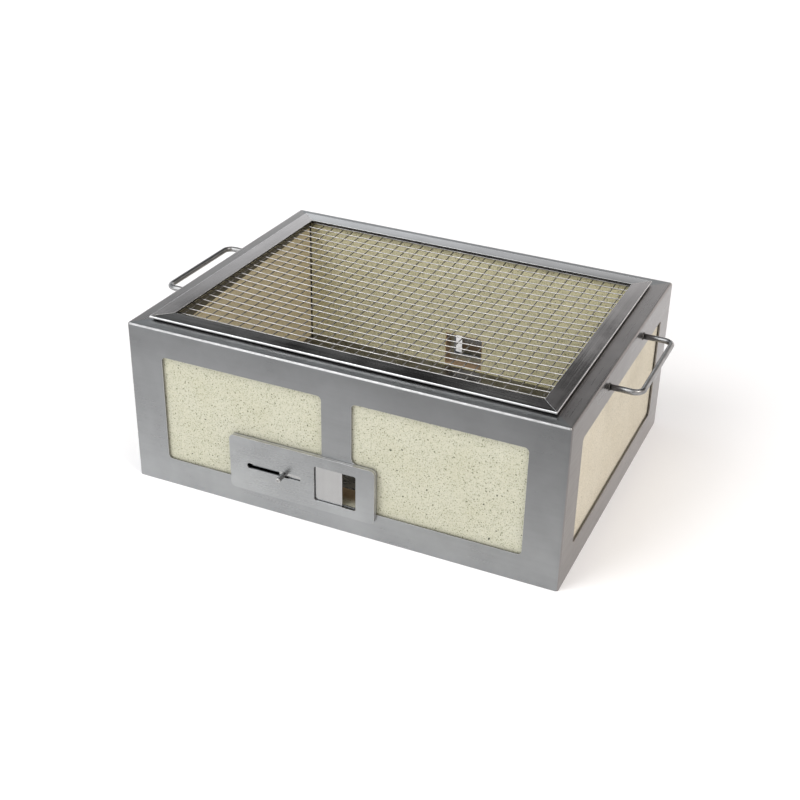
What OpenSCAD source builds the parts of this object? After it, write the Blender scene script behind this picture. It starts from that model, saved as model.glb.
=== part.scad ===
// Box-shaped charcoal grill: a folded steel case with windows, lined with firebrick,
// a sliding air vent front and rear, two rod handles and a lift-off net in a mitred frame.
// Origin: centre of the underside. +Z up, the front faces -Y, +X to the right.

/* [Case] */
// Width of the case from side to side
case_w = 460; // [430:5:500]
// Depth of the case from front to back
case_d = 350; // [330:5:380]
// Height of the case walls
case_h = 176; // [170:1:190]
// Thickness of the sheet steel
sheet_t = 1.5; // [1:0.25:2]
// Outside radius of the upright folded corners
fold_r = 3; // [2.5:0.5:5]

/* [Windows] */
// Width of the steel left at each end of a wall
post_w = 38; // [30:1:44]
// Height of the steel left above and below a window
rail_h = 30; // [26:1:34]
// Width of the steel between the two windows of a long wall
mullion_w = 32; // [24:1:40]
// Corner radius of a window
window_r = 4.5; // [2:0.5:8]

/* [Firebrick lining] */
// Thickness of the firebrick slabs
brick_t = 25.5; // [22:0.5:28]
// Air gap between a wall sheet and its slab
brick_gap = 1.5; // [1:0.5:3]
// Open joint where two slabs meet
brick_joint = 0.5; // [0.3:0.1:1]
// Thickness of the steel plate that the coals lie on
fire_plate_t = 1.2; // [1:0.1:2]

/* [Air vents] */
// Width of the air duct
duct_w = 45; // [36:1:50]
// Height of the air duct
duct_h = 39; // [30:1:42]
// Height of the duct's centre above the ground
duct_z = 50; // [49:0.5:52]
// Width of the vent's cover plate
cover_w = 159; // [156:1:162]
// Height of the vent's cover plate
cover_h = 60; // [58:1:62]
// How far the cover plate's centre lies left of the duct
cover_shift = 37; // [36:0.5:38]
// Depth of the slider's channel behind the cover plate
channel_t = 2.5; // [2.25:0.25:4]
// Thickness of the slider
slider_t = 1.5; // [1:0.25:1.5]
// Length of the slot that the pin runs in
slot_l = 60; // [50:1:60]
// Height of the slot
slot_h = 6; // [5.5:0.5:8]
// Diameter of the slider's pin
pin_d = 5; // [4:0.5:5]
// How far the pin stands out of the cover plate
pin_reach = 12; // [8:1:16]
// Open part of the front duct at rest
front_open = 15.5; // [0:0.5:50]
// Open part of the rear duct at rest
rear_open = 9; // [0:0.5:50]

/* [Handles] */
// Diameter of the handle rod
rod_d = 6; // [5:0.5:8]
// Distance between the two legs of a handle
handle_span = 120; // [90:5:150]
// Distance from the case wall to the middle of the grip
handle_reach = 31; // [26:0.5:40]
// Depth of the handles below the top of the walls
handle_drop = 14.5; // [13:0.5:17]
// Bend radius of the rod, to its middle
bend_r = 9; // [8:1:16]
// Diameter of the washer at each leg
washer_d = 8; // [8:0.5:14]

/* [Grill net] */
// Width of the net's frame
frame_w = 424; // [418:1:430]
// Depth of the net's frame
frame_d = 319; // [313:1:324]
// Width of the frame's top bars
bar_w = 18; // [17:0.5:20]
// Thickness of a top bar, and of the clamp strip under it
bar_t = 2; // [1.5:0.25:3]
// Diameter of the net's wires
wire_d = 1.2; // [1:0.1:1.6]
// Sag of the net in its middle
net_sag = 6.4; // [2:0.2:8]
// How far the loose net lies off the centre, to the right
net_off_x = -1.5; // [-1.5:0.1:1.5]
// How far the loose net lies off the centre, to the back
net_off_y = -0.8; // [-0.8:0.1:0.8]

/* [Hidden] */

$fn = 64;

// Colours
steel = [0.58, 0.59, 0.60];
light_steel = [0.72, 0.72, 0.71];
dark_steel = [0.23, 0.22, 0.21];
brick = [0.85, 0.84, 0.72];

// A cut runs this far past the faces it goes through
past = 4;

// Lining
lining_t = sheet_t + brick_gap + brick_t;
fire_w = case_w - 2 * lining_t;
fire_d = case_d - 2 * lining_t;
wall_brick_h = case_h - 2 * sheet_t - brick_gap;

// Windows
window_h = case_h - 2 * rail_h;
window_z = case_h / 2;
long_window_w = (case_w - 2 * post_w - mullion_w) / 2;
long_window_x = (mullion_w + long_window_w) / 2;
side_window_w = case_d - 2 * post_w;
fillet_r = 6;

// Vents, as seen from outside: x runs to the right from the duct's centre
cover_x = -cover_shift;
cover_z = duct_z + 0.8;
cover_r = 5;
duct_r = 2;
guide_h = 7;
guide_gap = 0.3;
slot_x = cover_x - 30.2;
slider_h = cover_h - 2 * guide_h - 2 * guide_gap;
slider_y = case_d / 2 + guide_gap + slider_t;
end_stop_w = 15;
pin_offset = 63;
slider_l = pin_offset + 6;
slider_r = 1;
pin_chamfer = 0.6;

// Handles
handle_z = case_h - handle_drop;
washer_t = 0.8;
rod_clearance = 0.1;

// Net: the clamp strips lie on the case's top flange, and the top bars lie on the strips
clamp_z = case_h;
bar_z = clamp_z + bar_t;
clamp_outset = 3;
clamp_inset = 2;
long_wire_pitch = 12.55;
long_wire_count = 24;
cross_wire_pitch = 12.7;
cross_wire_count = 31;
cross_wire_shift = -2.2;
wire_gap = 0.05;
long_wire_z = clamp_z - wire_gap - wire_d / 2;
cross_wire_z = long_wire_z - wire_d - wire_gap;
net_half_w = fire_w / 2 - 2.5;
net_half_d = fire_d / 2 - 1.2;
straight_sag = 0.3;

// ---------- helpers ----------

// Rectangle with round corners, centred on the origin
module round_rect(w, h, r) {
    square([w - 2 * r, h], center = true);
    square([w, h - 2 * r], center = true);
    for (x = [-1, 1], y = [-1, 1])
        translate([x * (w / 2 - r), y * (h / 2 - r)]) circle(r);
}

// Puts a flat shape, drawn as (right, up), on the outside of the wall at y = -y_face;
// it is t thick and grows inwards
module on_long_wall(y_face, t) {
    translate([0, t - y_face, 0]) rotate([90, 0, 0]) linear_extrude(t) children();
}

// The same for the side walls, cut right through both of them
module through_side_walls() {
    rotate([90, 0, 90]) linear_extrude(case_w + 2 * past, center = true) children();
}

// Front or rear copy: the rear vent is the front one turned half round
module at_rear(rear) {
    rotate([0, 0, rear ? 180 : 0]) children();
}

// ---------- case ----------

// Steel that stays behind the vent's cover plate
module vent_land() {
    translate([cover_x, cover_z]) round_rect(cover_w, cover_h, cover_r);
    difference() {
        translate([mullion_w / 2 - 1, cover_z + cover_h / 2 - 1]) square(fillet_r + 1);
        translate([mullion_w / 2 + fillet_r, cover_z + cover_h / 2 + fillet_r]) circle(fillet_r);
    }
}

module duct_outline() {
    translate([0, duct_z]) round_rect(duct_w, duct_h, duct_r);
}

// Everything cut out of a long wall
module long_wall_cuts() {
    difference() {
        for (side = [-1, 1])
            translate([side * long_window_x, window_z])
                round_rect(long_window_w, window_h, window_r);
        vent_land();
    }
    duct_outline();
}

// Everything cut out of a side wall
module side_wall_cuts() {
    translate([0, window_z]) round_rect(side_window_w, window_h, window_r);
    for (side = [-1, 1])
        translate([side * handle_span / 2, handle_z]) circle(rod_d / 2 + rod_clearance);
}

// The four walls and their top flanges, before they are parted into panels
module case_shell() {
    inner_w = case_w - 2 * sheet_t;
    inner_d = case_d - 2 * sheet_t;
    difference() {
        linear_extrude(case_h) round_rect(case_w, case_d, fold_r);
        translate([0, 0, -past])
            linear_extrude(case_h - sheet_t + past)
                round_rect(inner_w, inner_d, fold_r - sheet_t);
        translate([-fire_w / 2, -fire_d / 2, case_h / 2]) cube([fire_w, fire_d, case_h]);
        for (rear = [false, true])
            at_rear(rear) on_long_wall(case_d / 2 + past, sheet_t + 2 * past) long_wall_cuts();
        through_side_walls() side_wall_cuts();
    }
}

// Plan of one quarter of the case, parted at 45 degrees from each corner
module mitre_quarter(span, other) {
    reach = min(span, other) / 2 - 1;
    linear_extrude(case_h)
        polygon([
            [-span / 2 - 1, -other / 2 - 1],
            [span / 2 + 1, -other / 2 - 1],
            [span / 2 - reach, -other / 2 + reach],
            [reach - span / 2, -other / 2 + reach],
        ]);
}

module case_panel(turn, span, other) {
    color(steel)
        intersection() {
            case_shell();
            rotate([0, 0, turn]) mitre_quarter(span, other);
        }
}

module case_front_panel() { case_panel(0, case_w, case_d); }
module case_right_panel() { case_panel(90, case_d, case_w); }
module case_back_panel() { case_panel(180, case_w, case_d); }
module case_left_panel() { case_panel(270, case_d, case_w); }

// Sheet welded in flush with the bottom edges of the walls
module base_plate() {
    color(steel)
        linear_extrude(sheet_t)
            round_rect(case_w - 2 * sheet_t, case_d - 2 * sheet_t, fold_r - sheet_t);
}

// ---------- firebrick lining ----------

module long_firebrick(rear) {
    length = case_w - 2 * sheet_t - 2 * brick_gap;
    color(brick)
        at_rear(rear)
            difference() {
                translate([-length / 2, -fire_d / 2 - brick_t, sheet_t])
                    cube([length, brick_t, wall_brick_h]);
                on_long_wall(fire_d / 2 + brick_t + past, brick_t + 2 * past) duct_outline();
            }
}

module side_firebrick(side) {
    length = fire_d - 2 * brick_joint;
    color(brick)
        translate([side * (fire_w + brick_t) / 2 - brick_t / 2, -length / 2, sheet_t])
            cube([brick_t, length, wall_brick_h]);
}

module front_firebrick() { long_firebrick(false); }
module back_firebrick() { long_firebrick(true); }
module left_firebrick() { side_firebrick(-1); }
module right_firebrick() { side_firebrick(1); }

module floor_firebrick() {
    w = fire_w - 2 * brick_joint;
    d = fire_d - 2 * brick_joint;
    color(brick) translate([-w / 2, -d / 2, sheet_t]) cube([w, d, brick_t]);
}

// Loose sheet that the coals lie on
module fire_plate() {
    w = fire_w - 6 * brick_joint;
    d = fire_d - 6 * brick_joint;
    color(dark_steel)
        translate([0, 0, sheet_t + brick_t]) linear_extrude(fire_plate_t) round_rect(w, d, 2);
}

// ---------- air vents ----------

module vent_cover(rear) {
    color(steel)
        at_rear(rear)
            on_long_wall(case_d / 2 + channel_t + sheet_t, sheet_t)
                difference() {
                    translate([cover_x, cover_z]) round_rect(cover_w, cover_h, cover_r);
                    duct_outline();
                    translate([slot_x, duct_z])
                        square([slot_l - slot_h, slot_h], center = true);
                    for (end = [-1, 1])
                        translate([slot_x + end * (slot_l - slot_h) / 2, duct_z])
                            circle(slot_h / 2);
                }
}

// Strip that spaces the cover off the wall and guides the slider; up is 1 or -1
module vent_guide(rear, up) {
    color(steel)
        at_rear(rear)
            on_long_wall(case_d / 2 + channel_t, channel_t)
                intersection() {
                    translate([cover_x, cover_z]) round_rect(cover_w, cover_h, cover_r);
                    translate([cover_x, cover_z + up * (cover_h - guide_h) / 2])
                        square([cover_w, guide_h], center = true);
                }
}

// Block between the two guides that closes the channel's far end
module vent_end_stop(rear) {
    color(steel)
        at_rear(rear)
            on_long_wall(case_d / 2 + channel_t, channel_t)
                translate([cover_x + (cover_w - end_stop_w) / 2, cover_z])
                    square([end_stop_w, cover_h - 2 * guide_h], center = true);
}

// Flat slider; open is the width of duct that it leaves free
module vent_slider(rear, open) {
    right_edge = duct_w / 2 - open;
    color(light_steel)
        at_rear(rear)
            on_long_wall(slider_y, slider_t)
                translate([right_edge - slider_l / 2, cover_z])
                    round_rect(slider_l, slider_h, slider_r);
}

// Round pin welded to the slider's face, with a small chamfer at its free end
module vent_pin(rear, open) {
    shank = case_d / 2 + channel_t + sheet_t + pin_reach - pin_chamfer - slider_y;
    color(light_steel)
        at_rear(rear)
            translate([duct_w / 2 - open - pin_offset, -slider_y, duct_z])
                rotate([90, 0, 0]) {
                    cylinder(h = shank, d = pin_d);
                    translate([0, 0, shank])
                        cylinder(h = pin_chamfer, d1 = pin_d, d2 = pin_d - 2 * pin_chamfer);
                }
}

module front_vent_cover() { vent_cover(false); }
module front_vent_upper_guide() { vent_guide(false, 1); }
module front_vent_lower_guide() { vent_guide(false, -1); }
module front_vent_end_stop() { vent_end_stop(false); }
module front_vent_slider() { vent_slider(false, front_open); }
module front_vent_pin() { vent_pin(false, front_open); }
module rear_vent_cover() { vent_cover(true); }
module rear_vent_upper_guide() { vent_guide(true, 1); }
module rear_vent_lower_guide() { vent_guide(true, -1); }
module rear_vent_end_stop() { vent_end_stop(true); }
module rear_vent_slider() { vent_slider(true, rear_open); }
module rear_vent_pin() { vent_pin(true, rear_open); }

// ---------- handles ----------

// U-shaped rod whose legs pass through the side wall
module handle(side) {
    leg_l = sheet_t + handle_reach - bend_r;
    grip_l = handle_span - 2 * bend_r;
    color(light_steel)
        rotate([0, 0, side > 0 ? 0 : 180])
            translate([case_w / 2 - sheet_t, 0, handle_z]) {
                for (y = [-1, 1])
                    translate([0, y * handle_span / 2, 0])
                        rotate([0, 90, 0]) cylinder(h = leg_l, d = rod_d);
                translate([sheet_t + handle_reach, -grip_l / 2, 0])
                    rotate([-90, 0, 0]) cylinder(h = grip_l, d = rod_d);
                for (y = [-1, 1])
                    translate([leg_l, y * grip_l / 2, 0])
                        rotate([0, 0, y > 0 ? 0 : -90])
                            rotate_extrude(angle = 90) translate([bend_r, 0]) circle(d = rod_d);
            }
}

module handle_washers(side) {
    color(dark_steel)
        rotate([0, 0, side > 0 ? 0 : 180])
            for (y = [-1, 1])
                translate([case_w / 2, y * handle_span / 2, handle_z])
                    rotate([0, 90, 0])
                        difference() {
                            cylinder(h = washer_t, d = washer_d);
                            translate([0, 0, -past])
                                cylinder(h = washer_t + 2 * past,
                                         d = rod_d + 2 * rod_clearance);
                        }
}

module left_handle() { handle(-1); }
module right_handle() { handle(1); }
module left_handle_washers() { handle_washers(-1); }
module right_handle_washers() { handle_washers(1); }

// ---------- grill net ----------

// Where the loose net lies on the case
module net_place() {
    translate([net_off_x, net_off_y, 0]) children();
}

// One mitred strip of a frame w by d, lying along the front, strip_w wide, at height z
module mitred_strip(w, d, strip_w, z) {
    translate([0, 0, z])
        linear_extrude(bar_t)
            polygon([
                [-w / 2, -d / 2],
                [w / 2, -d / 2],
                [w / 2 - strip_w, -d / 2 + strip_w],
                [strip_w - w / 2, -d / 2 + strip_w],
            ]);
}

module frame_bar(turn) {
    long = turn % 180 == 0;
    color(steel)
        net_place() rotate([0, 0, turn])
            mitred_strip(long ? frame_w : frame_d, long ? frame_d : frame_w, bar_w, bar_z);
}

module clamp_strip(turn) {
    long = turn % 180 == 0;
    w = frame_w - 2 * clamp_outset;
    d = frame_d - 2 * clamp_outset;
    color(dark_steel)
        net_place() rotate([0, 0, turn])
            mitred_strip(long ? w : d, long ? d : w, bar_w - clamp_outset - clamp_inset, clamp_z);
}

module net_frame_front_bar() { frame_bar(0); }
module net_frame_right_bar() { frame_bar(90); }
module net_frame_back_bar() { frame_bar(180); }
module net_frame_left_bar() { frame_bar(270); }
module net_clamp_front_strip() { clamp_strip(0); }
module net_clamp_right_strip() { clamp_strip(90); }
module net_clamp_back_strip() { clamp_strip(180); }
module net_clamp_left_strip() { clamp_strip(270); }

// Wire along X whose ends are level and whose middle hangs lower by sag
module sagging_wire(half_span, sag) {
    if (sag < straight_sag)
        rotate([0, 90, 0]) cylinder(h = 2 * half_span, d = wire_d, center = true, $fn = 24);
    else {
        radius = (half_span * half_span + sag * sag) / (2 * sag);
        half_angle = asin(half_span / radius);
        translate([0, 0, radius - sag])
            rotate([90, 0, 0])
                rotate([0, 0, -90 - half_angle])
                    rotate_extrude(angle = 2 * half_angle, $fn = round(12 * 180 / half_angle))
                        translate([radius, 0]) circle(d = wire_d, $fn = 24);
    }
}

// Share of the full sag left at this distance from the middle
function sag_share(at, half) = 1 - (at / half) * (at / half);

module net_long_wires() {
    first = -(long_wire_count - 1) / 2;
    color(light_steel)
        net_place() for (i = [0:long_wire_count - 1]) {
            y = (first + i) * long_wire_pitch;
            translate([0, y, long_wire_z])
                sagging_wire(net_half_w, net_sag * sag_share(y, net_half_d));
        }
}

module net_cross_wires() {
    first = -(cross_wire_count - 1) / 2;
    color(light_steel)
        net_place() for (i = [0:cross_wire_count - 1]) {
            x = (first + i) * cross_wire_pitch + cross_wire_shift;
            translate([x, 0, cross_wire_z])
                rotate([0, 0, 90])
                    sagging_wire(net_half_d, net_sag * sag_share(x, net_half_w));
        }
}

// ---------- nodes ----------

case_front_panel();
case_back_panel();
case_left_panel();
case_right_panel();
base_plate();
front_firebrick();
back_firebrick();
left_firebrick();
right_firebrick();
floor_firebrick();
fire_plate();
front_vent_cover();
front_vent_upper_guide();
front_vent_lower_guide();
front_vent_end_stop();
front_vent_slider();
front_vent_pin();
rear_vent_cover();
rear_vent_upper_guide();
rear_vent_lower_guide();
rear_vent_end_stop();
rear_vent_slider();
rear_vent_pin();
left_handle();
right_handle();
left_handle_washers();
right_handle_washers();
net_frame_front_bar();
net_frame_back_bar();
net_frame_left_bar();
net_frame_right_bar();
net_clamp_front_strip();
net_clamp_back_strip();
net_clamp_left_strip();
net_clamp_right_strip();
net_long_wires();
net_cross_wires();
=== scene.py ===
"""Looks of the hibachi grill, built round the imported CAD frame. Places are in metres."""
import math
import random

import bmesh
import bpy
from mathutils import Matrix, Vector


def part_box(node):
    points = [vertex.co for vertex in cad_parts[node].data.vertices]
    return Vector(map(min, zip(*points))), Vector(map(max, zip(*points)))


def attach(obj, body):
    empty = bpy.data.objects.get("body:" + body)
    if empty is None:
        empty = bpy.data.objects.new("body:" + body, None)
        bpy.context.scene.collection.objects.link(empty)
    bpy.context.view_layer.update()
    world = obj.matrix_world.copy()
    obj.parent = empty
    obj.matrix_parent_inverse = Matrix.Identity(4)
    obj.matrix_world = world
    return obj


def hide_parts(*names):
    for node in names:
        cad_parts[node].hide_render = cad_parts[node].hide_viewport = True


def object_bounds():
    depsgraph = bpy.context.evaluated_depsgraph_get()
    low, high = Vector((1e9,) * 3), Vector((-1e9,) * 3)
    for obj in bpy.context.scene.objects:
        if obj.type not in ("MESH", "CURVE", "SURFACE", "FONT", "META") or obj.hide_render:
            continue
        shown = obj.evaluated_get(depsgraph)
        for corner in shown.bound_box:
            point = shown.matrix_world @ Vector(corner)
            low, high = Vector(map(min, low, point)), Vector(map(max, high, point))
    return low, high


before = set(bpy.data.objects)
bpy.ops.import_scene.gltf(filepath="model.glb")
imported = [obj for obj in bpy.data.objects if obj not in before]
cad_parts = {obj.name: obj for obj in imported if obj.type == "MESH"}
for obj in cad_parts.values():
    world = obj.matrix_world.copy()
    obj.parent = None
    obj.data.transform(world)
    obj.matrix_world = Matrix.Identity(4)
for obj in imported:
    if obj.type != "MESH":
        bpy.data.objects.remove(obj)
cad_low, cad_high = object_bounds()

MM = 0.001

# ---------- sizes that part.scad also uses ----------

SHEET_T = 1.5 * MM
FOLD_R = 3 * MM
TOP_FOLD_R = 2.6 * MM
POST_W = 38 * MM
RAIL_H = 30 * MM
MULLION_W = 32 * MM
WINDOW_R = 4.5 * MM
COVER_R = 5 * MM
FILLET_R = 6 * MM
DUCT_HALF_W = 22.5 * MM
DUCT_BOTTOM = 30.5 * MM
DUCT_TOP = 69.5 * MM
DUCT_R = 2 * MM
HOLE_R = 3.1 * MM
BEND_R = 9 * MM
BAR_W = 18 * MM
LONG_WIRE_COUNT = 24
LONG_WIRE_PITCH = 12.55 * MM
CROSS_WIRE_COUNT = 31
CROSS_WIRE_PITCH = 12.7 * MM
CROSS_WIRE_SHIFT = -2.2 * MM
WIRE_R = 0.6 * MM
NET_SAG = 6.4 * MM

# ---------- values of the visual model only ----------

ARC_STEPS = 10
PAST = 4 * MM  # a cut runs this far past the faces it goes through
TOUCH = 0.01 * MM  # closer than this counts as the same place
MARGIN = 0.3 * MM  # reach of a test for faces that lie on a given plane
FLANGE_DEPTH = 0.4 * MM  # the top of the case is painted down to here
FRAME_ROUNDING = 0.7 * MM
RIM_DEPTH = 1.6 * MM  # cut faces this near a vent cover's outline belong to its rim
UPRIGHT = 0.3  # a face is upright if the size of its normal's z is below this
LEVEL_FACE = 0.9  # and level if it is above this
FOLD_NORMAL = (0.3, 0.95)  # range of the normal's z on the fold at a wall's top
SHARP_ANGLE = math.radians(35)
CREASE_ANGLE = math.radians(50)
BEND_STEPS = 16
HANDLE_SIDES = 32
WIRE_SIDES = 10
STEPS_PER_PITCH = 6
WELD_DEPTH = 0.15 * MM  # how far crossing wires sink into each other
WELD_SWELL = 1.06
LONG_RISE = 0.02 * MM
WANDER = 0.1 * MM
FADE_START = 20 * MM  # the walls' darkening begins at this height
INSIDE_PAINTED_LEVEL = 0.74  # brightness of the bricks' faces inside the fire box, painted light

# places in a piece's list of materials
EDGE = 1
RIM = 2
PAINTED_SHADE = 2
FOLD = 3

# ---------- places taken from the CAD ----------

case_low = Vector((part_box("case_left_panel")[0].x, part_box("case_front_panel")[0].y, 0))
case_high = Vector((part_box("case_right_panel")[1].x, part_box("case_back_panel")[1].y,
                    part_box("case_front_panel")[1].z))
fire_low = Vector((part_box("left_firebrick")[1].x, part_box("front_firebrick")[1].y, 0))
fire_high = -fire_low
cover_low, cover_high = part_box("front_vent_cover")

# ---------- meshes ----------


def new_object(name, mesh):
    """Links a mesh to the scene as an object."""
    obj = bpy.data.objects.new(name, mesh)
    bpy.context.scene.collection.objects.link(obj)
    return obj


def object_from_bmesh(name, bm):
    """Turns a bmesh into an object with outward normals and frees it."""
    bmesh.ops.recalc_face_normals(bm, faces=bm.faces)
    mesh = bpy.data.meshes.new(name)
    bm.to_mesh(mesh)
    bm.free()
    return new_object(name, mesh)


def rounded_polygon(corners):
    """Outline with each corner (x, y, radius) rounded, inside and outside corners alike."""
    points = []
    for i, (x, y, radius) in enumerate(corners):
        here = Vector((x, y))
        before = (Vector(corners[i - 1][:2]) - here).normalized()
        after = (Vector(corners[(i + 1) % len(corners)][:2]) - here).normalized()
        if radius == 0:
            points.append(here)
            continue
        half = before.angle(after) / 2
        centre = here + (before + after).normalized() * (radius / math.sin(half))
        start = here + before * (radius / math.tan(half)) - centre
        end = here + after * (radius / math.tan(half)) - centre
        turn = start.angle_signed(end)
        for step in range(ARC_STEPS + 1):
            angle = turn * step / ARC_STEPS
            points.append(centre + Vector((
                start.x * math.cos(angle) + start.y * math.sin(angle),
                start.y * math.cos(angle) - start.x * math.sin(angle),
            )))
    return points


def box_outline(low, high, radius):
    """Rectangle with four round corners."""
    return rounded_polygon([
        (low[0], low[1], radius),
        (high[0], low[1], radius),
        (high[0], high[1], radius),
        (low[0], high[1], radius),
    ])


def prism(outline, axis, start, end):
    """Solid between two heights along an axis; the outline holds the other two coordinates."""
    bm = bmesh.new()
    rings = []
    for height in (start, end):
        ring = []
        for u, v in outline:
            place = [u, v]
            place.insert(axis, height)
            ring.append(bm.verts.new(place))
        rings.append(ring)
        bm.faces.new(ring)
    for i in range(len(outline)):
        bm.faces.new((rings[0][i - 1], rings[0][i], rings[1][i], rings[1][i - 1]))
    return object_from_bmesh("prism", bm)


def folded_box(low, high, side_r, top_r):
    """Box with rounded upright edges and rounded top edges."""
    bm = bmesh.new()
    bmesh.ops.create_cube(bm, size=1)
    for vert in bm.verts:
        for axis in range(3):
            vert.co[axis] = low[axis] if vert.co[axis] < 0 else high[axis]
    upright = [e for e in bm.edges if abs(e.verts[0].co.z - e.verts[1].co.z) > MM]
    bmesh.ops.bevel(bm, geom=upright, offset=side_r, segments=ARC_STEPS, profile=0.5,
                    affect="EDGES")
    top = [e for e in bm.edges if min(v.co.z for v in e.verts) > high[2] - TOUCH]
    bmesh.ops.bevel(bm, geom=top, offset=top_r, segments=ARC_STEPS, profile=0.5,
                    affect="EDGES")
    return object_from_bmesh("folded_box", bm)


def carve(target, cutter, operation="DIFFERENCE"):
    """Exact boolean of two objects: the result replaces the target's mesh, the cutter goes."""
    modifier = target.modifiers.new("carve", "BOOLEAN")
    modifier.operation = operation
    modifier.solver = "EXACT"
    modifier.object = cutter
    depsgraph = bpy.context.evaluated_depsgraph_get()
    result = bpy.data.meshes.new_from_object(target.evaluated_get(depsgraph))
    target.modifiers.clear()
    target.data = result
    bpy.data.objects.remove(cutter)
    return target


def half_turned(obj):
    """Copy turned half round the upright axis, for the rear wall."""
    mesh = obj.data.copy()
    for vert in mesh.vertices:
        vert.co.x = -vert.co.x
        vert.co.y = -vert.co.y
    return new_object(obj.name, mesh)


def bevel_edges(bm, edges, width, steps):
    """Rounds these edges; the rounding takes the object's second material."""
    bmesh.ops.bevel(bm, geom=edges, offset=width, segments=steps, profile=0.5,
                    affect="EDGES", clamp_overlap=True, material=EDGE)


def break_edges(obj, width, skip=None, wide=None, wide_width=0.0, rim=False):
    """Rounds every sharp edge a little, and the edges picked by wide more than the others.
    With rim, the sheet's upright cut faces take the second material too, which paints a highlight
    on them."""
    bm = bmesh.new()
    bm.from_mesh(obj.data)
    bmesh.ops.remove_doubles(bm, verts=bm.verts, dist=0.002 * MM)
    bmesh.ops.dissolve_limit(bm, angle_limit=math.radians(0.4), verts=bm.verts,
                             edges=bm.edges)
    if rim:
        for face in bm.faces:
            if abs(face.normal.z) < UPRIGHT:
                face.material_index = EDGE
    if wide:
        bevel_edges(bm, [e for e in bm.edges if wide(e)], wide_width, 4)
    sharp = [
        e for e in bm.edges
        if len(e.link_faces) == 2
        and e.calc_face_angle(0) > SHARP_ANGLE
        and not (skip and skip(e))
    ]
    bevel_edges(bm, sharp, width, 2)
    for face in bm.faces:
        face.smooth = True
    bm.to_mesh(obj.data)
    bm.free()
    obj.data.set_sharp_from_angle(angle=CREASE_ANGLE)
    normals = obj.modifiers.new("weighted_normals", "WEIGHTED_NORMAL")
    normals.keep_sharp = True
    normals.weight = 80
    return obj


def tube(bm, path, side, radii, sides):
    """Adds a closed round rod along a path that stays square to the direction side."""
    rings = []
    for i, (point, radius) in enumerate(zip(path, radii)):
        ahead = path[min(i + 1, len(path) - 1)] - path[max(i - 1, 0)]
        normal = ahead.cross(side).normalized()
        rings.append([
            bm.verts.new(point + (side * math.cos(a) + normal * math.sin(a)) * radius)
            for a in (2 * math.pi * k / sides for k in range(sides))
        ])
    for low, high in zip(rings, rings[1:]):
        for k in range(sides):
            face = bm.faces.new((low[k - 1], low[k], high[k], high[k - 1]))
            face.smooth = True
    bm.faces.new(rings[0])
    bm.faces.new(rings[-1])


def finish_piece(obj, node, body, slot, *materials):
    """Names a piece after the CAD node that it stands for and gives it body and looks. slot is not
    used.
    """
    obj.name = "detailed_" + node
    obj.data.name = obj.name
    for material in materials:
        obj.data.materials.append(material)
    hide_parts(node)
    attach(obj, body)
    return obj


def copy_of_node(node):
    """New object with a CAD node's own shape, ready for finer edges."""
    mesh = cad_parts[node].data.copy()
    mesh.materials.clear()
    return new_object(node, mesh)


# ---------- materials ----------


class Shader:
    """Short calls to build one material's node tree."""

    def __init__(self, name, tree=None):
        if tree is None:
            self.material = bpy.data.materials.new(name)
            self.material.use_nodes = True
            tree = self.material.node_tree
            self.bsdf = tree.nodes["Principled BSDF"]
        self.tree = tree
        self.place = self.node("ShaderNodeTexCoord").outputs["Object"]

    def node(self, kind, inputs=None, **settings):
        made = self.tree.nodes.new(kind)
        for key, value in settings.items():
            setattr(made, key, value)
        for key, value in (inputs or {}).items():
            self.feed(made.inputs[key], value)
        return made

    def feed(self, socket, value):
        if isinstance(value, bpy.types.NodeSocket):
            self.tree.links.new(value, socket)
        else:
            socket.default_value = value

    def math(self, operation, a, b=0.0):
        return self.node("ShaderNodeMath", {0: a, 1: b}, operation=operation).outputs[0]

    def stretched(self, scale):
        """Object coordinates times a scale for each axis."""
        return self.node("ShaderNodeMapping", {"Vector": self.place, "Scale": scale}).outputs[0]

    def noise(self, scale, detail=3.0, roughness=0.5, vector=None):
        inputs = {"Vector": vector or self.place, "Scale": scale, "Detail": detail,
                  "Roughness": roughness}
        return self.node("ShaderNodeTexNoise", inputs).outputs["Fac"]

    def remap(self, value, low, high, to_low=0.0, to_high=1.0, smooth=False):
        kind = "SMOOTHSTEP" if smooth else "LINEAR"
        inputs = {0: value, 1: low, 2: high, 3: to_low, 4: to_high}
        return self.node("ShaderNodeMapRange", inputs, interpolation_type=kind).outputs[0]

    def mix(self, factor, a, b, blend="MIX"):
        made = self.node("ShaderNodeMix", {0: factor, 6: a, 7: b}, data_type="RGBA",
                         blend_type=blend)
        return made.outputs[2]

    def bump(self, height, strength, distance, before=None):
        inputs = {"Height": height, "Strength": strength, "Distance": distance}
        if before is not None:
            inputs["Normal"] = before
        return self.node("ShaderNodeBump", inputs).outputs[0]

    def product(self, *factors):
        """All factors multiplied."""
        result = factors[0]
        for factor in factors[1:]:
            result = self.math("MULTIPLY", result, factor)
        return result

    def distance(self, value, middle=0.0):
        """Size of the difference between two values."""
        return self.math("ABSOLUTE", self.math("SUBTRACT", value, middle))

    def shaded(self, tint, shade):
        """Colour times a brightness."""
        grey = self.node("ShaderNodeCombineColor", {0: shade, 1: shade, 2: shade}).outputs[0]
        return self.mix(1.0, tint, grey, "MULTIPLY")

    def position(self):
        """The three object coordinates, as separate sockets."""
        return self.node("ShaderNodeSeparateXYZ", {0: self.place}).outputs

    def set(self, **inputs):
        for key, value in inputs.items():
            self.feed(self.bsdf.inputs[key.replace("_", " ").title()], value)


def colour(level, tint=(1.0, 1.0, 1.0)):
    """Linear colour from one brightness and a tint."""
    return (level * tint[0], level * tint[1], level * tint[2], 1.0)


NEUTRAL = (1.0, 1.0, 1.0)
COOL = (0.975, 1.0, 1.015)
WARM = (1.03, 1.0, 0.96)
PINK = (1.05, 0.995, 0.975)


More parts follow.
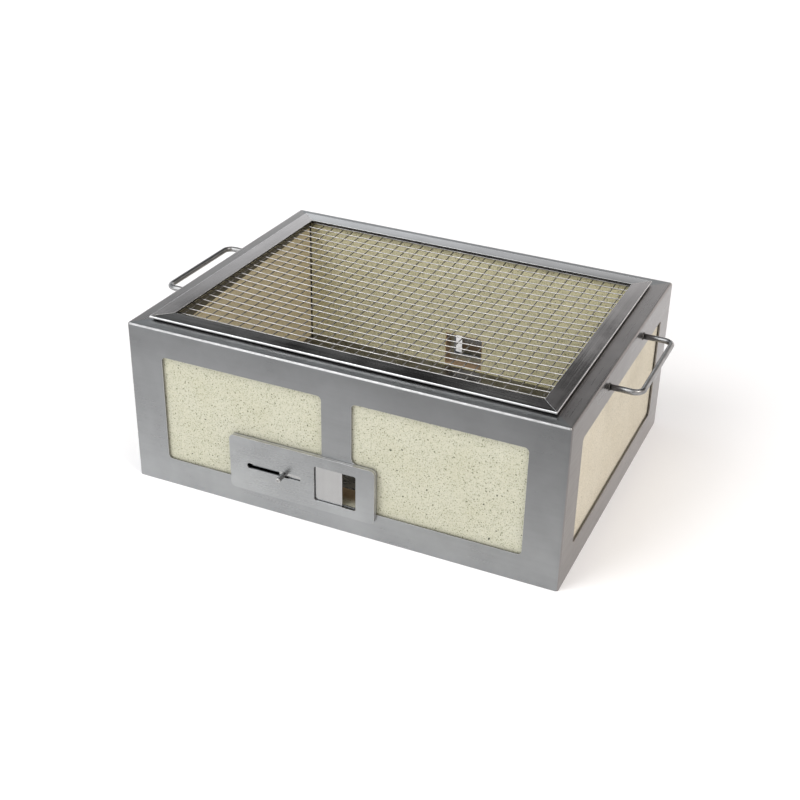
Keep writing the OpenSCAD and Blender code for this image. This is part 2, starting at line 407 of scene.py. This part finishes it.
def wall_tone(s, position, fade, drift, flange):
    """Painted light and shade on sheet steel by place. fade is a height and the tone there, reached
    from full tone at FADE_START: painted shade that darkens the walls upwards.
    drift is an axis, two places on it and the tones there: a painted gradient of light along it.
    flange is the painted tone of the case's top instead."""
    tone = s.remap(position[2], FADE_START, fade[0], 1.0, fade[1]) if fade else 1.0
    if drift:
        tone = s.product(tone, s.remap(position[drift[0]], *drift[1:]))
    if flange:
        on_top = s.math("GREATER_THAN", position[2], case_high.z - FLANGE_DEPTH)
        off_top = s.math("SUBTRACT", 1.0, on_top)
        tone = s.math("ADD", s.product(tone, off_top), s.product(on_top, flange))
    return tone


def behind_cover(s, position):
    """Mask of the long walls' steel behind the front vent's cover."""
    middle = (cover_low.x + cover_high.x) / 2
    half = (cover_high.x - cover_low.x) / 2
    return s.product(
        s.math("LESS_THAN", s.distance(position[0], middle), half),
        s.math("LESS_THAN", position[2], cover_high.z - COVER_R),
        s.math("GREATER_THAN", position[2], RAIL_H),
    )


def brushed_steel(name, brush, level=0.38, tint=NEUTRAL, roughness=0.32, streak=0.03,
                  cloud=0.07, grain=0.12, anisotropy=0.3, fade=None, drift=None,
                  flange=None, hidden=None):
    """Brushed sheet steel; brush is the axis (0, 1 or 2) that the brushing follows. For fade,
    drift and flange see wall_tone. hidden is the roughness of the steel behind the cover."""
    s = Shader(name)
    fine = [900.0] * 3
    fine[brush] = 9.0
    broad = [260.0] * 3
    broad[brush] = 5.0
    hairline = s.noise(1.0, detail=2.0, vector=s.stretched(fine))
    streaks = s.noise(1.0, detail=3.0, vector=s.stretched(broad))
    clouds = s.noise(11.0, detail=4.0, roughness=0.6)
    smears = s.noise(46.0, detail=3.0, roughness=0.55)
    dull = s.remap(clouds, 0.3, 0.7, smooth=True)
    tone = s.mix(dull, colour(level * (1 - cloud), tint), colour(level * (1 + cloud), tint))
    position = s.position()
    shade = s.product(
        s.remap(streaks, 0.3, 0.7, 1 - streak, 1 + streak),
        s.remap(hairline, 0.25, 0.75, 1 - streak, 1 + streak),
        s.remap(smears, 0.35, 0.7, 1.0, 0.94),
        wall_tone(s, position, fade, drift, flange),
    )
    rough = s.math("ADD", s.remap(dull, 0, 1, roughness - 0.04, roughness + 0.05),
                   s.remap(hairline, 0.3, 0.7, -0.04, 0.04))
    if hidden:
        covered = behind_cover(s, position)
        bare = s.math("SUBTRACT", 1.0, covered)
        rough = s.math("ADD", s.product(rough, bare), s.product(covered, hidden))
    along = [0.0, 0.0, 0.0]
    along[brush] = 1.0
    normal = s.node("ShaderNodeNewGeometry").outputs["Normal"]
    across = s.node("ShaderNodeVectorMath", {0: normal, 1: along},
                    operation="CROSS_PRODUCT").outputs[0]
    s.set(base_color=s.shaded(tone, shade), roughness=rough, metallic=1.0,
          anisotropic=anisotropy, tangent=across, normal=s.bump(hairline, grain, 0.02 * MM))
    return s.material


def bright_edge(name, level=0.66, tint=NEUTRAL, roughness=0.28):
    """Cut sheet edge, a little brighter than the face beside it: partly bright cut steel, partly a
    painted highlight.
    """
    s = Shader(name)
    wear = s.noise(120.0, detail=4.0)
    tone = s.mix(s.remap(wear, 0.35, 0.65), colour(level * 0.8, tint), colour(level, tint))
    s.set(base_color=tone, metallic=1.0,
          roughness=s.remap(wear, 0.3, 0.7, roughness + 0.08, roughness),
          normal=s.bump(wear, 0.15, 0.05 * MM))
    return s.material


def rod_steel(name, level=0.55, tint=NEUTRAL, roughness=0.3):
    """Drawn round rod with lengthwise streaks and faint blotches."""
    s = Shader(name)
    streaks = s.noise(1.0, detail=3.0, vector=s.stretched((700.0, 60.0, 1500.0)))
    blotches = s.noise(150.0, detail=3.0)
    tone = s.mix(s.remap(streaks, 0.35, 0.65), colour(level * 0.72, tint), colour(level, tint))
    spots = s.remap(blotches, 0.55, 0.7, 1.0, 0.8)
    s.set(base_color=s.shaded(tone, spots), metallic=1.0,
          roughness=s.remap(streaks, 0.3, 0.7, roughness + 0.08, roughness - 0.04),
          normal=s.bump(streaks, 0.25, 0.05 * MM))
    return s.material


def dark_steel(name, level=0.1, tint=WARM, roughness=0.45):
    """Oxidised sheet: dark, blotchy and slightly rough."""
    s = Shader(name)
    blotches = s.noise(35.0, detail=5.0, roughness=0.65)
    fine = s.noise(600.0, detail=2.0)
    tone = s.mix(s.remap(blotches, 0.3, 0.7), colour(level * 0.6, tint), colour(level * 1.5, tint))
    s.set(base_color=tone, metallic=0.85,
          roughness=s.remap(blotches, 0.3, 0.7, roughness - 0.08, roughness + 0.12),
          normal=s.bump(fine, 0.25, 0.05 * MM))
    return s.material


def shade_black_steel(name, level=0.012):
    """Painted shade: dull, nearly black steel that stands in for the deep shade under and beside
    the net frame.
    """
    s = Shader(name)
    flecks = s.noise(240.0, detail=4.0, roughness=0.7)
    tone = s.mix(s.remap(flecks, 0.35, 0.7), colour(level * 0.6, WARM), colour(level * 2.2, WARM))
    s.set(base_color=tone, metallic=0.0, roughness=s.remap(flecks, 0.3, 0.7, 0.8, 0.6),
          normal=s.bump(flecks, 0.3, 0.05 * MM))
    s.bsdf.inputs["Specular IOR Level"].default_value = 0.2
    return s.material


def speckle(s, spacing, share, size, seed):
    """Mask of small grains: a share of the cells of this spacing hold one grain of this size.
    The cells are turned, so that no wall of the grill runs along a layer of them."""
    shifted = s.node("ShaderNodeMapping", {"Vector": s.place, "Location": (seed, seed, seed),
                                           "Rotation": (0.6, 0.4, 0.9)}).outputs[0]
    warp = s.node("ShaderNodeTexNoise", {"Vector": shifted, "Scale": 0.9 / spacing,
                                         "Detail": 2.0}).outputs["Color"]
    bent = s.node("ShaderNodeVectorMath", {0: warp, 1: (spacing * 0.7,) * 3},
                  operation="MULTIPLY").outputs[0]
    place = s.node("ShaderNodeVectorMath", {0: shifted, 1: bent}, operation="ADD").outputs[0]
    cells = s.node("ShaderNodeTexVoronoi", {"Vector": place, "Scale": 1 / spacing})
    pick = s.node("ShaderNodeSeparateColor", {0: cells.outputs["Color"]})
    chosen = s.math("LESS_THAN", pick.outputs[0], share)
    radius = s.remap(pick.outputs[1], 0, 1, size * 0.5 / spacing, size / spacing)
    grain = s.math("SUBTRACT", radius, cells.outputs["Distance"])
    return s.math("MULTIPLY", s.remap(grain, 0.0, 0.12 * size / spacing), chosen)


def duct_painted_shade(s, position):
    """Share of painted shade on the walls of the air ducts, darker and browner deeper in; it fades
    towards their outer ends.
    """
    middle_z = (DUCT_TOP + DUCT_BOTTOM) / 2
    beside = s.math("SUBTRACT", s.distance(position[0]), DUCT_HALF_W)
    above = s.math("SUBTRACT", s.distance(position[2], middle_z), (DUCT_TOP - DUCT_BOTTOM) / 2)
    near_duct = s.remap(s.math("MAXIMUM", beside, above), 0.2 * MM, 1.2 * MM, 1.0, 0.0,
                        smooth=True)
    depth = s.distance(position[1])
    in_long_wall = s.math("GREATER_THAN", depth, 140 * MM)
    strength = s.remap(depth, 158 * MM, 168 * MM, 0.85, 0.1, smooth=True)
    return s.product(near_duct, in_long_wall, strength)


def rim_painted_shadow(s, position, mottle):
    """Mask of a painted shadow under the mouth's rim, deeper at the front and with a wavy edge."""
    depth = s.remap(position[1], fire_low.y, fire_high.y, 15 * MM, 5 * MM)
    edge = s.math("SUBTRACT", case_high.z - 3 * MM, depth)
    wavy = s.math("ADD", position[2], s.remap(mottle, 0.3, 0.7, -1.0 * MM, 1.0 * MM))
    return s.math("GREATER_THAN", wavy, edge)


def firebrick(name, level=0.48, light=(1.0, 0.99, 0.80), dark=(1.0, 0.985, 0.76), specks=1.0,
              rim_shadow_band=False):
    """Pale insulating firebrick: cream, with grey-green grains, dark specks and pits. The faces
    inside the fire box are painted brighter and yellower as painted light, with dirt in the corner
    joints and, if asked for, a painted shadow under the rim."""
    s = Shader(name)
    mottle = s.noise(28.0, detail=4.0, roughness=0.6)
    sand = s.noise(1100.0, detail=2.0)
    grit = s.noise(420.0, detail=3.0, roughness=0.7)
    cream = s.mix(s.remap(mottle, 0.3, 0.7), colour(level * 0.97, dark),
                  colour(level * 1.03, light))
    base = s.shaded(cream, s.product(s.remap(sand, 0.3, 0.7, 0.86, 1.14),
                                     s.remap(grit, 0.56, 0.72, 1.0, 0.84)))
    small = speckle(s, 1.6 * MM, 0.9, 0.75 * MM, 0.3)
    middle = speckle(s, 2.9 * MM, 0.6, 0.85 * MM, 1.1)
    large = speckle(s, 8 * MM, 0.5, 1.1 * MM, 2.3)
    for grains, strength, grain_colour in (
        (small, 0.6, (0.22, 0.23, 0.15, 1)),
        (middle, 0.85, (0.14, 0.145, 0.095, 1)),
        (large, 0.95, (0.06, 0.06, 0.045, 1)),
    ):
        base = s.mix(s.product(grains, strength * specks), base, grain_colour)
    position = s.position()
    # Painted shade: darker and browner deeper inside the ducts.
    base = s.mix(duct_painted_shade(s, position), base, (0.30, 0.195, 0.11, 1))
    out_x = s.distance(position[0])
    out_y = s.distance(position[1])
    # Painted light: the faces inside the fire box are painted brighter and yellower.
    inner_faces = s.product(s.math("LESS_THAN", out_x, fire_high.x + MARGIN),
                      s.math("LESS_THAN", out_y, fire_high.y + MARGIN))
    base = s.mix(inner_faces, base, colour(INSIDE_PAINTED_LEVEL / level, (1.0, 0.957, 0.825)), "MULTIPLY")
    joint = s.product(s.math("GREATER_THAN", out_x, fire_high.x - 1.2 * MM),
                      s.math("GREATER_THAN", out_y, fire_high.y - 2.0 * MM), inner_faces)
    base = s.mix(joint, base, (0.05, 0.045, 0.03, 1))
    # Painted shadow: a dark band under the mouth's rim on the slab's inner face.
    if rim_shadow_band:
        rim_shadow = s.product(rim_painted_shadow(s, position, mottle), inner_faces, 0.88)
        base = s.mix(rim_shadow, base, (0.05, 0.05, 0.045, 1))
    relief = s.math("SUBTRACT", s.product(grit, 0.3), s.math("ADD", s.product(middle, 0.5), large))
    s.set(base_color=base, roughness=0.92, normal=s.bump(relief, 0.5, 0.25 * MM))
    s.bsdf.inputs["Specular IOR Level"].default_value = 0.25
    return s.material


# Painted light: the long and side walls are copies of one steel that differ in brightness and tint;
# fade paints them darker towards the top, drift paints a gradient across them and flange paints the
# case's top its own tone.
case_along_x = brushed_steel("case_steel_long_walls", 0, level=0.357, tint=COOL, streak=0.015,
                             grain=0.07, fade=(case_high.z - TOP_FOLD_R, 0.545),
                             drift=(0, -0.05, case_high.x, 0.97, 0.77), flange=0.84, hidden=0.1)
case_along_y = brushed_steel("case_steel_side_walls", 1, level=0.322, tint=PINK, streak=0.02,
                             fade=(case_high.z - TOP_FOLD_R, 0.78),
                             drift=(1, case_low.y, case_high.y, 0.75, 1.05), flange=1.0)
case_edge = bright_edge("case_steel_cut_edge", level=0.5)
# Painted highlight: the long walls' top folds are painted brighter than the walls beside them.
fold_painted_highlight = bright_edge("case_steel_fold_painted_highlight", level=0.36, roughness=0.3)
# Painted shade: the vent cover is painted darker towards its top and towards its right end.
vent_face = brushed_steel("vent_steel_face", 0, level=0.415, tint=COOL, roughness=0.3, cloud=0.13,
                          streak=0.012, grain=0.06, fade=(cover_high.z, 0.8),
                          drift=(0, -0.08, cover_high.x, 1.0, 0.8))
slider_face = brushed_steel("slider_steel_face", 2, level=0.4, roughness=0.18, cloud=0.03,
                            streak=0.02)
pin_face = rod_steel("pin_steel", level=0.34, roughness=0.22)
# Painted light: the four bars are copies of one steel that differ in brightness and tint, and the
# front bar is painted lighter towards the right.
bar_front = brushed_steel("net_bar_front", 0, level=0.25, tint=WARM, roughness=0.15, streak=0.05,
                          grain=0.05, anisotropy=0.2,
                          drift=(0, case_low.x, case_high.x, 0.5, 1.3))
bar_back = brushed_steel("net_bar_back", 0, level=0.4, roughness=0.15, streak=0.05,
                         grain=0.05, anisotropy=0.2)
bar_sides = brushed_steel("net_bar_sides", 1, level=0.41, tint=PINK, roughness=0.19,
                          streak=0.05, grain=0.06, anisotropy=0.2)
# Painted highlight: the bars' upright faces and the rounded edges of bars, sliders and pins are
# painted brighter than the faces beside them.
bar_edge = bright_edge("net_bar_edge", level=0.75)
# Painted highlight: the vent covers' and guides' outer cut faces are painted bright.
vent_rim = bright_edge("vent_steel_cut_rim", level=0.62, roughness=0.42)
# Painted shade: the clamp strips and the cut faces round the mouth are nearly black.
clamp_face = shade_black_steel("clamp_steel_painted_shade")
painted_shade_edge = shade_black_steel("steel_painted_shade_edge")
handle_face = rod_steel("handle_rod_steel", level=0.32)
washer_face = dark_steel("washer_steel_face", level=0.2)
plate_face = dark_steel("fire_plate_face", level=0.16, roughness=0.24)
# Painted shade: the cross wires are a darker, warmer copy of the long wires' steel.
long_wire_face = rod_steel("net_long_wire_steel", level=0.56, tint=(1.0, 0.97, 0.96), roughness=0.3)
cross_wire_face = rod_steel("net_cross_wire_steel", level=0.28, tint=WARM, roughness=0.3)
brick_face = firebrick("firebrick_face")
brick_edge = firebrick("firebrick_worn_edge", level=0.45)
# Painted light: the side slabs are copies of the brick that differ in brightness and tint; they
# also have fewer specks.
right_brick_face = firebrick("right_firebrick_face", level=0.6, light=(1.0, 0.93, 0.77),
                             dark=(1.0, 0.92, 0.74), specks=0.3)
left_brick_face = firebrick("left_firebrick_face", level=0.6, light=(1.0, 0.93, 0.77),
                            dark=(1.0, 0.92, 0.74), specks=0.3, rim_shadow_band=True)

# ---------- case ----------


def window_outlines():
    """The two front windows, as (x, z) outlines, less the steel behind the vent's cover."""
    left, right = case_low.x + POST_W, case_high.x - POST_W
    inner = MULLION_W / 2
    low, high = RAIL_H, case_high.z - RAIL_H
    left_window = rounded_polygon([
        (left, low, WINDOW_R),
        (cover_low.x, low, 0),
        (cover_low.x, cover_high.z, COVER_R),
        (-inner, cover_high.z, 0),
        (-inner, high, WINDOW_R),
        (left, high, WINDOW_R),
    ])
    right_window = rounded_polygon([
        (cover_high.x, low, 0),
        (right, low, WINDOW_R),
        (right, high, WINDOW_R),
        (inner, high, WINDOW_R),
        (inner, cover_high.z, FILLET_R),
        (cover_high.x, cover_high.z, COVER_R),
    ])
    return left_window, right_window


def duct_outline():
    """The front duct's opening, as an (x, z) outline."""
    return box_outline((-DUCT_HALF_W, DUCT_BOTTOM), (DUCT_HALF_W, DUCT_TOP), DUCT_R)


def case_shell():
    """Folded sheet case with all its openings."""
    inner_low = case_low + Vector((SHEET_T, SHEET_T, -PAST))
    inner_high = case_high - Vector((SHEET_T, SHEET_T, SHEET_T))
    shell = folded_box(case_low, case_high, FOLD_R, TOP_FOLD_R)
    carve(shell, folded_box(inner_low, inner_high, FOLD_R - SHEET_T, TOP_FOLD_R - SHEET_T))
    mouth = [(fire_low.x, fire_low.y), (fire_high.x, fire_low.y),
             (fire_high.x, fire_high.y), (fire_low.x, fire_high.y)]
    carve(shell, prism(mouth, 2, case_high.z / 2, case_high.z + PAST))
    for outline in (*window_outlines(), duct_outline()):
        front = prism(outline, 1, case_low.y - PAST, case_low.y + PAST)
        carve(shell, half_turned(front))
        carve(shell, front)
    side_window = box_outline((case_low.y + POST_W, RAIL_H),
                              (case_high.y - POST_W, case_high.z - RAIL_H), WINDOW_R)
    carve(shell, prism(side_window, 0, case_low.x - PAST, case_high.x + PAST))
    leg_low, leg_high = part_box("right_handle")
    rod_r = (leg_high.z - leg_low.z) / 2
    for y in (leg_low.y + rod_r, leg_high.y - rod_r):
        z = leg_low.z + rod_r
        hole = box_outline((y - HOLE_R, z - HOLE_R), (y + HOLE_R, z + HOLE_R), HOLE_R * 0.999)
        carve(shell, prism(hole, 0, case_low.x - PAST, case_high.x + PAST))
    return shell


def quarter(turned, sign):
    """Plan of one wall's share of the case, parted at 45 degrees from each corner."""
    half, other = case_high.x + MM, case_high.y + MM
    if turned:
        half, other = other, half
    reach = min(half, other) - 2 * MM
    plan = [(-half, -other), (half, -other), (half - reach, reach - other),
            (reach - half, reach - other)]
    if turned:
        plan = [(-v, u) for u, v in plan]
    return prism([(sign * u, sign * v) for u, v in plan], 2, -PAST, case_high.z + PAST)


def on_mitre(edge):
    """True for an edge that lies in one of the 45 degree planes between two walls."""
    return all(
        abs((case_high.x - abs(v.co.x)) - (case_high.y - abs(v.co.y))) < 0.02 * MM
        for v in edge.verts
    )


shell = case_shell()


def paint_panel(panel, turned):
    """Paints a wall's faces in the mouth that are not level black, as painted shade, and the long
    walls' top folds with a painted highlight.
    """
    for polygon in panel.data.polygons:
        centre, rise = polygon.center, polygon.normal.z
        in_mouth = (abs(centre.x) < fire_high.x + MARGIN
                    and abs(centre.y) < fire_high.y + MARGIN)
        if in_mouth and abs(rise) < LEVEL_FACE:
            polygon.material_index = PAINTED_SHADE
        elif not turned and FOLD_NORMAL[0] < rise < FOLD_NORMAL[1]:
            polygon.material_index = FOLD


for node, turned, sign, face in (
    ("case_front_panel", False, 1, case_along_x),
    ("case_back_panel", False, -1, case_along_x),
    ("case_right_panel", True, 1, case_along_y),
    ("case_left_panel", True, -1, case_along_y),
):
    panel = carve(new_object(node, shell.data.copy()), quarter(turned, sign), "INTERSECT")
    break_edges(panel, 0.22 * MM, skip=on_mitre)
    paint_panel(panel, turned)
    finish_piece(panel, node, "grill_case", "case_steel", face, case_edge, painted_shade_edge, fold_painted_highlight)
bpy.data.objects.remove(shell)

# ---------- plates, bricks and vents that keep the CAD shape, with broken edges ----------

REFINED = (
    ("base_plate", "grill_case", "case_steel", 0.25, case_along_x, case_edge),
    ("fire_plate", "grill_case", "fire_plate_steel", 0.25, plate_face, plate_face),
    ("front_firebrick", "grill_case", "firebrick", 0.5, brick_face, brick_edge),
    ("back_firebrick", "grill_case", "firebrick", 0.5, brick_face, brick_edge),
    ("left_firebrick", "grill_case", "firebrick", 0.5, left_brick_face, brick_edge),
    ("right_firebrick", "grill_case", "firebrick", 0.5, right_brick_face, brick_edge),
    ("floor_firebrick", "grill_case", "firebrick", 0.5, brick_face, brick_edge),
    ("left_handle_washers", "grill_case", "washer_steel", 0.2, washer_face, washer_face),
    ("right_handle_washers", "grill_case", "washer_steel", 0.2, washer_face, washer_face),
    ("net_clamp_front_strip", "grill_net", "clamp_steel", 0.2, clamp_face, clamp_face),
    ("net_clamp_back_strip", "grill_net", "clamp_steel", 0.2, clamp_face, clamp_face),
    ("net_clamp_left_strip", "grill_net", "clamp_steel", 0.2, clamp_face, clamp_face),
    ("net_clamp_right_strip", "grill_net", "clamp_steel", 0.2, clamp_face, clamp_face),
)
for node, body, slot, width, face, edge in REFINED:
    finish_piece(break_edges(copy_of_node(node), width * MM), node, body, slot, face, edge)

bars_low = Vector((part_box("net_frame_left_bar")[0].x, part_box("net_frame_front_bar")[0].y))
bars_high = Vector((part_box("net_frame_right_bar")[1].x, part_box("net_frame_back_bar")[1].y))


def on_frame_rim(edge):
    """True for the net frame's outer top edges, which are dressed rounder than the others."""
    if any(v.co.z < cad_high.z - TOUCH for v in edge.verts):
        return False
    return any(
        all(abs(v.co[axis] - limit[axis]) < TOUCH for v in edge.verts)
        for limit in (bars_low, bars_high) for axis in (0, 1)
    )


def in_frame_opening(place):
    """True for a place inside the net frame's opening or on its edge."""
    return (bars_low.x + BAR_W - MARGIN < place.x < bars_high.x - BAR_W + MARGIN
            and bars_low.y + BAR_W - MARGIN < place.y < bars_high.y - BAR_W + MARGIN)


for side, face in (("front", bar_front), ("back", bar_back),
                   ("left", bar_sides), ("right", bar_sides)):
    node = f"net_frame_{side}_bar"
    bar = break_edges(copy_of_node(node), 0.25 * MM, wide=on_frame_rim,
                      wide_width=FRAME_ROUNDING, rim=True)
    # Painted shade: the bars' upright faces in the frame's opening are painted black.
    for polygon in bar.data.polygons:
        if in_frame_opening(polygon.center) and abs(polygon.normal.z) < UPRIGHT:
            polygon.material_index = PAINTED_SHADE
    finish_piece(bar, node, "grill_net", "net_frame_steel", face, bar_edge, painted_shade_edge)


def on_vent_rim(polygon, low, high):
    """True for the narrow cut faces round the outside of a vent's cover and guides."""
    centre = polygon.center
    inset = min(centre.x - low.x, high.x - centre.x, centre.z - low.z, high.z - centre.z)
    return inset < RIM_DEPTH and abs(polygon.normal.y) < UPRIGHT


for end in ("front", "rear"):
    rim_low, rim_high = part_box(f"{end}_vent_cover")
    # Painted shade: the guides' and end stops' rounded edges take the dark washer steel, a dark
    # line where shade falls in the joints beside the cover.
    for part, width, edge in (("cover", 0.2, case_edge), ("upper_guide", 0.4, washer_face),
                              ("lower_guide", 0.4, washer_face), ("end_stop", 0.4, washer_face)):
        node = f"{end}_vent_{part}"
        piece = break_edges(copy_of_node(node), width * MM)
        for polygon in piece.data.polygons:
            if on_vent_rim(polygon, rim_low, rim_high):
                polygon.material_index = RIM
        finish_piece(piece, node, "grill_case", "vent_steel", vent_face, edge, vent_rim)
    for part, face in (("slider", slider_face), ("pin", pin_face)):
        node = f"{end}_vent_{part}"
        piece = break_edges(copy_of_node(node), 0.15 * MM)
        finish_piece(piece, node, f"{end}_damper", "slider_steel", face, bar_edge)

# ---------- handles ----------


def handle_piece(node, sign):
    """U-shaped rod swept along two legs, two bends and the grip."""
    low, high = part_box(node)
    rod_r = (high.z - low.z) / 2
    root = low.x if sign > 0 else -high.x
    reach = (high.x if sign > 0 else -low.x) - rod_r
    half = high.y - rod_r
    z = low.z + rod_r
    path = [Vector((root, -half, z)), Vector((reach - BEND_R, -half, z))]
    for y_side in (-1, 1):
        for step in range(1, BEND_STEPS):
            angle = math.pi / 2 * step / BEND_STEPS
            if y_side > 0:
                angle = math.pi / 2 - angle
            path.append(Vector((reach - BEND_R + BEND_R * math.sin(angle),
                                y_side * (half - BEND_R + BEND_R * math.cos(angle)), z)))
        if y_side < 0:
            path.append(Vector((reach, BEND_R - half, z)))
            path.append(Vector((reach, half - BEND_R, z)))
    path += [Vector((reach - BEND_R, half, z)), Vector((root, half, z))]
    bm = bmesh.new()
    path = [Vector((sign * p.x, sign * p.y, p.z)) for p in path]
    tube(bm, path, Vector((0, 0, 1)), [rod_r] * len(path), HANDLE_SIDES)
    finish_piece(object_from_bmesh(node, bm), node, "grill_case", "handle_steel", handle_face)


handle_piece("left_handle", -1)
handle_piece("right_handle", 1)

# ---------- welded net ----------

long_low, long_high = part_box("net_long_wires")
cross_low, cross_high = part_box("net_cross_wires")
net_x = (long_low.x + long_high.x) / 2
net_y = (cross_low.y + cross_high.y) / 2
half_x = long_high.x - net_x
half_y = cross_high.y - net_y
first_x = net_x + CROSS_WIRE_SHIFT - (CROSS_WIRE_COUNT - 1) / 2 * CROSS_WIRE_PITCH
first_y = net_y - (LONG_WIRE_COUNT - 1) / 2 * LONG_WIRE_PITCH
rng = random.Random(11)


def sag(x, y):
    """How far the net hangs below its edges, like a shallow dish."""
    return NET_SAG * (1 - ((x - net_x) / half_x) ** 2) * (1 - ((y - net_y) / half_y) ** 2)


def wire_stations(first_crossing, count, pitch, middle, half):
    """Steps along one wire with one step on every crossing, and the wire's two ends."""
    step = pitch / STEPS_PER_PITCH
    inner = [first_crossing + k * step
             for k in range(-STEPS_PER_PITCH, (count + 1) * STEPS_PER_PITCH)]
    inner = [s for s in inner if abs(s - middle) < half - step / 2]
    return [middle - half] + inner + [middle + half]


def net_wires(along_x):
    """All wires that run one way: nearly straight, sagging, and swollen a little at each weld."""
    bm = bmesh.new()
    if along_x:
        count, first, pitch, top = LONG_WIRE_COUNT, first_y, LONG_WIRE_PITCH, long_high.z - WIRE_R
        stations = wire_stations(first_x, CROSS_WIRE_COUNT, CROSS_WIRE_PITCH, net_x, half_x)
        crossing, other_pitch, side = first_x, CROSS_WIRE_PITCH, Vector((0, 1, 0))
    else:
        count, first, pitch = CROSS_WIRE_COUNT, first_x, CROSS_WIRE_PITCH
        top = long_high.z - 3 * WIRE_R + WELD_DEPTH
        stations = wire_stations(first_y, LONG_WIRE_COUNT, LONG_WIRE_PITCH, net_y, half_y)
        crossing, other_pitch, side = first_y, LONG_WIRE_PITCH, Vector((1, 0, 0))
    for i in range(count):
        across = first + i * pitch
        phase, turns = rng.uniform(0, 2 * math.pi), rng.uniform(0.8, 2.2)
        path, radii = [], []
        for along in stations:
            share = (along - stations[0]) / (stations[-1] - stations[0])
            drift = WANDER * math.sin(phase + turns * 2 * math.pi * share)
            on_weld = math.cos(2 * math.pi * (along - crossing) / other_pitch)
            place = (along, across + drift) if along_x else (across + drift, along)
            height = top - LONG_RISE + LONG_RISE * on_weld - sag(*place)
            path.append(Vector((*place, height)))
            radii.append(WIRE_R * (WELD_SWELL if on_weld > 0.99 else 1.0))
        tube(bm, path, side, radii, WIRE_SIDES)
    return bm


for node, along_x, face in (("net_long_wires", True, long_wire_face),
                            ("net_cross_wires", False, cross_wire_face)):
    wires = object_from_bmesh(node, net_wires(along_x))
    finish_piece(wires, node, "grill_net", "net_wire", face)

# ---------- floor, light and camera ----------


def make_floor():
    """Large plain pale floor with a faint glow, which is stronger further away."""
    bm = bmesh.new()
    bmesh.ops.create_circle(bm, cap_ends=True, radius=14, segments=96)
    floor = object_from_bmesh("studio_floor", bm)
    s = Shader("studio_floor_pale")
    away = s.node("ShaderNodeVectorMath", {0: s.place}, operation="LENGTH").outputs["Value"]
    glow = s.remap(away, 0.4, 2.5, 0.09, 0.4)
    s.set(base_color=(0.93, 0.93, 0.94, 1), roughness=0.9, emission_color=(1, 1, 1, 1),
          emission_strength=glow)
    s.bsdf.inputs["Specular IOR Level"].default_value = 0.1
    floor.data.materials.append(s.material)


def make_world():
    """Pale studio. Behind the grill it is bright low down and dark higher up, with light again
    overhead; in front of it one even tone. The right side is a little warmer than the left."""
    world = bpy.data.worlds.new("studio")
    world.use_nodes = True
    bpy.context.scene.world = world
    s = Shader("studio", tree=world.node_tree)
    background = world.node_tree.nodes["Background"]
    direction = s.node("ShaderNodeTexCoord").outputs["Generated"]
    part = s.node("ShaderNodeSeparateXYZ", {0: direction}).outputs
    dark = s.remap(part[2], 0.37, 0.43, 1.45, 0.05, smooth=True)
    zenith = s.remap(part[2], 0.80, 1.0, 0.0, 0.9, smooth=True)
    behind = s.remap(part[1], 0.05, 0.45, smooth=True)
    back_half = s.math("MULTIPLY", behind, s.math("ADD", dark, zenith))
    front_half = s.math("MULTIPLY", s.math("SUBTRACT", 1.0, behind), 0.85)
    tint = s.mix(s.remap(part[0], -0.6, 0.6, smooth=True), (0.97, 1.0, 1.03, 1),
                 (1.07, 1.0, 0.96, 1))
    s.feed(background.inputs["Color"], tint)
    s.feed(background.inputs["Strength"], s.math("ADD", back_half, front_half))


def make_light(name, place, aim, size, power, tint=(1, 1, 1)):
    """Square soft box that faces a point."""
    data = bpy.data.lights.new(name, "AREA")
    data.shape = "SQUARE"
    data.size = size
    data.energy = power
    data.color = tint
    lamp = bpy.data.objects.new(name, data)
    lamp.location = place
    lamp.rotation_mode = "QUATERNION"
    lamp.rotation_quaternion = (Vector(aim) - Vector(place)).to_track_quat("-Z", "Y")
    bpy.context.scene.collection.objects.link(lamp)


def make_camera():
    """Camera at the photograph's place, angle and roll."""
    azimuth, elevation, roll = (math.radians(a) for a in (21.228, 28.152, 2.716))
    back = Vector((math.sin(azimuth) * math.cos(elevation),
                   -math.cos(azimuth) * math.cos(elevation), math.sin(elevation)))
    right = Vector((0, 0, 1)).cross(back).normalized()
    up = back.cross(right)
    x_axis = right * math.cos(roll) + up * math.sin(roll)
    y_axis = up * math.cos(roll) - right * math.sin(roll)
    matrix = Matrix((x_axis, y_axis, back)).transposed().to_4x4()
    matrix.translation = Vector((0.48343, -1.09489, 0.73326))
    data = bpy.data.cameras.new("camera")
    data.sensor_width = 36
    data.lens = 57.28
    data.shift_x = -0.0792
    data.shift_y = -0.0328
    camera = bpy.data.objects.new("camera", data)
    camera.matrix_world = matrix
    bpy.context.scene.collection.objects.link(camera)
    bpy.context.scene.camera = camera


make_floor()
make_world()
make_light("left_softbox", (-0.84, -1.16, 2.1), (0, 0, 0.1), 1.2, 18)
make_light("right_softbox", (1.5, -0.75, 1.9), (0.2, 0, 0.1), 0.6, 14, (1.0, 0.96, 0.9))
make_light("front_fill", (-1.1, -2.1, 0.9), (0, 0, 0.1), 1.4, 16)
make_camera()

scene = bpy.context.scene
scene.view_settings.view_transform = "Standard"
scene.cycles.use_denoising = True
